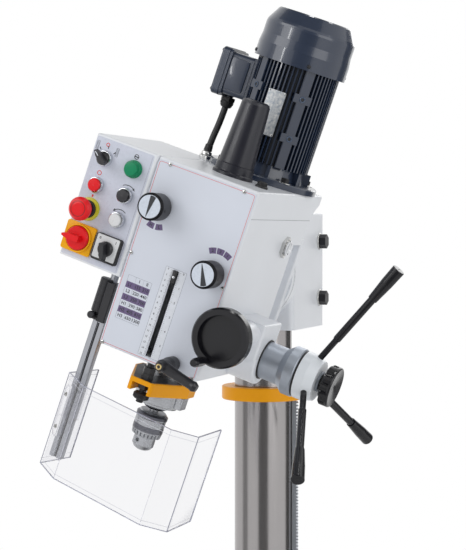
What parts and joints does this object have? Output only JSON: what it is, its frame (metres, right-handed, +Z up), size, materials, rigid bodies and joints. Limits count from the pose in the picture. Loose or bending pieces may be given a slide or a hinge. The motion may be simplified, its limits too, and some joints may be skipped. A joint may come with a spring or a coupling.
{
  "type": "geared drill press",
  "caption": "Floor-standing geared drill press: round column, tilting gear head with motor, feed capstan, chuck and clear guard, rising table and slotted base.",
  "frame": {"origin": "on the floor, under the column's axis, in the base's underside", "axes": "+Z up along the column, -Y towards the operator, +X to the operator's right; the head rests tilted 19.7 degrees about Y with its top to +X"},
  "size_m": [0.6316, 0.7926, 2.1142],
  "materials": {
    "head_paint": "smooth light grey paint",
    "plate_paint": "smooth pale blue-grey printed plate",
    "base_paint": "painted casting",
    "motor_paint": "gloss slate paint",
    "column_steel": "ground",
    "bright_steel": "ground and turned",
    "gear_steel": "cut and oiled",
    "table_iron": "milled",
    "black_steel": "blackened",
    "jaw_steel": "ground",
    "black_plastic": "moulded, fine grain",
    "cap_plastic": "moulded, dark grey",
    "cable_rubber": "matt",
    "yellow_paint": "smooth orange-yellow paint",
    "red_plastic": "moulded",
    "white_plastic": "moulded",
    "post_aluminium": "anodised extrusion",
    "clear_sheet": "clear bent sheet"
  },
  "bodies": {
    "stand": {"base": "base_paint", "column_flange": "head_paint", "column": "column_steel", "rack_collar": "yellow_paint", "head_bracket": "head_paint", "bracket_bolts": "black_steel"},
    "rack": {"table_rack": "column_steel"},
    "arm": {"table_arm": "head_paint"},
    "table_crank": {"table_crank": "black_steel"},
    "arm_clamp": {"arm_clamp_lever": "black_steel"},
    "table": {"work_table": "table_iron"},
    "head": {"head_housing": "head_paint", "head_lid": "head_paint", "front_plate": "plate_paint", "control_box": "head_paint", "control_bezels": "black_plastic", "spindle_cap": "cap_plastic", "sight_glass": "bright_steel", "motor_body": "motor_paint", "motor_cowl": "motor_paint", "terminal_box": "motor_paint", "motor_cable": "cable_rubber", "gearbox_bearings": "bright_steel", "guard_switch": "black_plastic"},
    "rotor": {"motor_rotor": "bright_steel"},
    "speed_cluster": {"speed_cluster": "gear_steel"},
    "range_shaft": {"range_shaft": "gear_steel"},
    "range_cluster": {"range_cluster": "gear_steel"},
    "drive_sleeve": {"drive_sleeve": "gear_steel"},
    "speed_knob": {"speed_knob": "black_plastic"},
    "range_knob": {"range_knob": "black_plastic"},
    "speed_fork": {"speed_fork": "gear_steel"},
    "quill": {"quill": "bright_steel", "spindle_bearings": "bright_steel", "stop_bracket": "yellow_paint", "stop_rod": "bright_steel"},
    "spindle": {"spindle": "bright_steel", "chuck_body": "black_steel"},
    "chuck_sleeve": {"chuck_sleeve": "bright_steel"},
    "jaw_1": {"chuck_jaw_1": "jaw_steel"},
    "jaw_2": {"chuck_jaw_2": "jaw_steel"},
    "jaw_3": {"chuck_jaw_3": "jaw_steel"},
    "quill_lock": {"quill_lock": "black_plastic"},
    "capstan": {"feed_shaft": "bright_steel", "capstan_hub": "head_paint", "feed_levers": "black_steel", "return_spring": "bright_steel"},
    "star_knob": {"star_knob": "black_plastic"},
    "clutch": {"clutch_sleeve": "bright_steel"},
    "handwheel": {"fine_feed_wheel": "black_plastic"},
    "wheel_handle": {"fine_feed_handle": "black_plastic"},
    "e_stop": {"e_stop_button": "red_plastic"},
    "start": {"start_button": "white_plastic"},
    "stop": {"stop_button": "red_plastic"},
    "tap": {"tap_button": "black_plastic"},
    "selector": {"direction_selector": "black_plastic"},
    "main_switch": {"main_switch": "red_plastic"},
    "coolant_switch": {"coolant_switch": "black_plastic"},
    "guard_post": {"guard_post": "post_aluminium"},
    "guard_shield": {"guard_shield": "clear_sheet"}
  },
  "joints": [
    {"name": "rack_swing", "type": "hinge", "parent": "stand", "child": "rack", "pos_m": [0, 0, 1], "axis": [0, 0, 1], "range_deg": [-90, 90]},
    {"name": "table_height", "type": "slide", "parent": "rack", "child": "arm", "axis": [0, 0, 1], "range_m": [-0.45, 0.25]},
    {"name": "table_crank_turn", "type": "hinge", "parent": "arm", "child": "table_crank", "pos_m": [0.0811, 0.02952, 0.695], "axis": [0.342, -0.9397, 0], "range_deg": [-1228.77, 683.09]},
    {"name": "arm_clamp_turn", "type": "hinge", "parent": "arm", "child": "arm_clamp", "pos_m": [0, 0.102, 0.715], "axis": [1, 0, 0], "range_deg": [-50, 50]},
    {"name": "table_turn", "type": "hinge", "parent": "arm", "child": "table", "pos_m": [0, -0.34, 0.79], "axis": [0, 0, 1], "range_deg": [-180, 180]},
    {"name": "head_tilt", "type": "hinge", "parent": "stand", "child": "head", "pos_m": [0, 0, 1.64], "axis": [0, 1, 0], "range_deg": [-64.69, 25.31]},
    {"name": "rotor_spin", "type": "hinge", "parent": "head", "child": "rotor", "pos_m": [0.03369, -0.184, 1.73415], "axis": [0.3369, 0, 0.9415], "continuous": true},
    {"name": "speed_shift", "type": "slide", "parent": "rotor", "child": "speed_cluster", "axis": [0.3369, 0, 0.9415], "range_m": [-0.01, 0.01]},
    {"name": "range_shaft_spin", "type": "hinge", "parent": "head", "child": "range_shaft", "pos_m": [0.01922, -0.26047, 1.73933], "axis": [0.3369, 0, 0.9415], "continuous": true},
    {"name": "range_shift", "type": "slide", "parent": "range_shaft", "child": "range_cluster", "axis": [0.3369, 0, 0.9415], "range_m": [0, 0.01]},
    {"name": "drive_sleeve_spin", "type": "hinge", "parent": "head", "child": "drive_sleeve", "pos_m": [0.03369, -0.34, 1.73415], "axis": [0.3369, 0, 0.9415], "continuous": true},
    {"name": "speed_knob_turn", "type": "hinge", "parent": "head", "child": "speed_knob", "pos_m": [0.06794, -0.453, 1.64436], "axis": [0, 1, 0], "range_deg": [-39.68, 39.68]},
    {"name": "range_knob_turn", "type": "hinge", "parent": "head", "child": "range_knob", "pos_m": [-0.02515, -0.453, 1.75521], "axis": [0, 1, 0], "range_deg": [-42.54, 1]},
    {"name": "fork_slide", "type": "slide", "parent": "head", "child": "speed_fork", "axis": [0.3369, 0, 0.9415], "range_m": [-0.0102, 0.0102]},
    {"name": "quill_feed", "type": "slide", "parent": "head", "child": "quill", "axis": [-0.3369, 0, -0.9415], "range_m": [0, 0.15], "stiffness_N_per_m": 250, "springref_m": -0.9},
    {"name": "spindle_spin", "type": "hinge", "parent": "quill", "child": "spindle", "pos_m": [-0.08423, -0.34, 1.40462], "axis": [0.3369, 0, 0.9415], "continuous": true},
    {"name": "chuck_sleeve_turn", "type": "hinge", "parent": "spindle", "child": "chuck_sleeve", "pos_m": [-0.09545, -0.34, 1.37326], "axis": [0.3369, 0, 0.9415], "range_deg": [-600, 1920]},
    {"name": "jaw_1_grip", "type": "slide", "parent": "spindle", "child": "jaw_1", "axis": [-0.4978, 0.183, -0.8478], "range_m": [-0.0052, 0.0162]},
    {"name": "jaw_2_grip", "type": "slide", "parent": "spindle", "child": "jaw_2", "axis": [-0.3885, -0.25, -0.8869], "range_m": [-0.0052, 0.0162]},
    {"name": "jaw_3_grip", "type": "slide", "parent": "spindle", "child": "jaw_3", "axis": [-0.0901, 0.067, -0.9937], "range_m": [-0.0052, 0.0162]},
    {"name": "quill_lock_turn", "type": "hinge", "parent": "head", "child": "quill_lock", "pos_m": [-0.00144, -0.453, 1.49501], "axis": [0, 1, 0], "range_deg": [-20, 40]},
    {"name": "capstan_turn", "type": "hinge", "parent": "head", "child": "capstan", "pos_m": [0.10619, -0.2895, 1.49154], "axis": [0.9415, 0, -0.3369], "range_deg": [-1, 538.15]},
    {"name": "star_knob_turn", "type": "hinge", "parent": "capstan", "child": "star_knob", "pos_m": [0.21164, -0.2895, 1.45381], "axis": [0.9415, 0, -0.3369], "range_deg": [-180, 180]},
    {"name": "clutch_spin", "type": "hinge", "parent": "head", "child": "clutch", "pos_m": [0.10619, -0.2895, 1.49154], "axis": [0.9415, 0, -0.3369], "continuous": true},
    {"name": "handwheel_turn", "type": "hinge", "parent": "head", "child": "handwheel", "pos_m": [0.09273, -0.49, 1.5415], "axis": [0, 1, 0], "continuous": true},
    {"name": "wheel_handle_spin", "type": "hinge", "parent": "handwheel", "child": "wheel_handle", "pos_m": [0.06951, -0.49, 1.50531], "axis": [0, 1, 0], "continuous": true},
    {"name": "e_stop_push", "type": "slide", "parent": "head", "child": "e_stop", "axis": [0, 1, 0], "range_m": [0, 0.005], "stiffness_N_per_m": 3000},
    {"name": "start_push", "type": "slide", "parent": "head", "child": "start", "axis": [0, 1, 0], "range_m": [0, 0.0035], "stiffness_N_per_m": 1500},
    {"name": "stop_push", "type": "slide", "parent": "head", "child": "stop", "axis": [0, 1, 0], "range_m": [0, 0.0035], "stiffness_N_per_m": 1500},
    {"name": "tap_push", "type": "slide", "parent": "head", "child": "tap", "axis": [0, 1, 0], "range_m": [0, 0.0035], "stiffness_N_per_m": 1500},
    {"name": "selector_turn", "type": "hinge", "parent": "head", "child": "selector", "pos_m": [-0.12694, -0.45, 1.83731], "axis": [0, 1, 0], "range_deg": [0, 96]},
    {"name": "main_switch_turn", "type": "hinge", "parent": "head", "child": "main_switch", "pos_m": [-0.17479, -0.45, 1.70361], "axis": [0, 1, 0], "range_deg": [0, 90]},
    {"name": "coolant_switch_turn", "type": "hinge", "parent": "head", "child": "coolant_switch", "pos_m": [-0.12206, -0.45, 1.68474], "axis": [0, 1, 0], "range_deg": [-45, 45]},
    {"name": "guard_swing", "type": "hinge", "parent": "head", "child": "guard_post", "pos_m": [-0.19073, -0.38, 1.49583], "axis": [0.3369, 0, 0.9415], "range_deg": [-100, 0]},
    {"name": "guard_slide", "type": "slide", "parent": "guard_post", "child": "guard_shield", "axis": [0.3369, 0, 0.9415], "range_m": [0, 0.06]}
  ],
  "couplings": [
    {"joint": "table_crank_turn", "follows": "table_height", "rad_per_m": 47.619},
    {"joint": "range_shaft_spin", "follows": "rotor_spin", "ratio": -1},
    {"joint": "drive_sleeve_spin", "follows": "rotor_spin", "ratio": 0.5},
    {"joint": "spindle_spin", "follows": "rotor_spin", "ratio": 0.5},
    {"joint": "speed_knob_turn", "follows": "speed_shift", "rad_per_m": 67.513},
    {"joint": "fork_slide", "follows": "speed_shift", "ratio": 1},
    {"joint": "range_knob_turn", "follows": "range_shift", "rad_per_m": -72.499},
    {"joint": "capstan_turn", "follows": "quill_feed", "rad_per_m": 62.5},
    {"joint": "clutch_spin", "follows": "handwheel_turn", "ratio": 0.033333},
    {"joint": "jaw_1_grip", "follows": "chuck_sleeve_turn", "m_per_rad": 0.00047746},
    {"joint": "jaw_2_grip", "follows": "chuck_sleeve_turn", "m_per_rad": 0.00047746},
    {"joint": "jaw_3_grip", "follows": "chuck_sleeve_turn", "m_per_rad": 0.00047746}
  ]
}
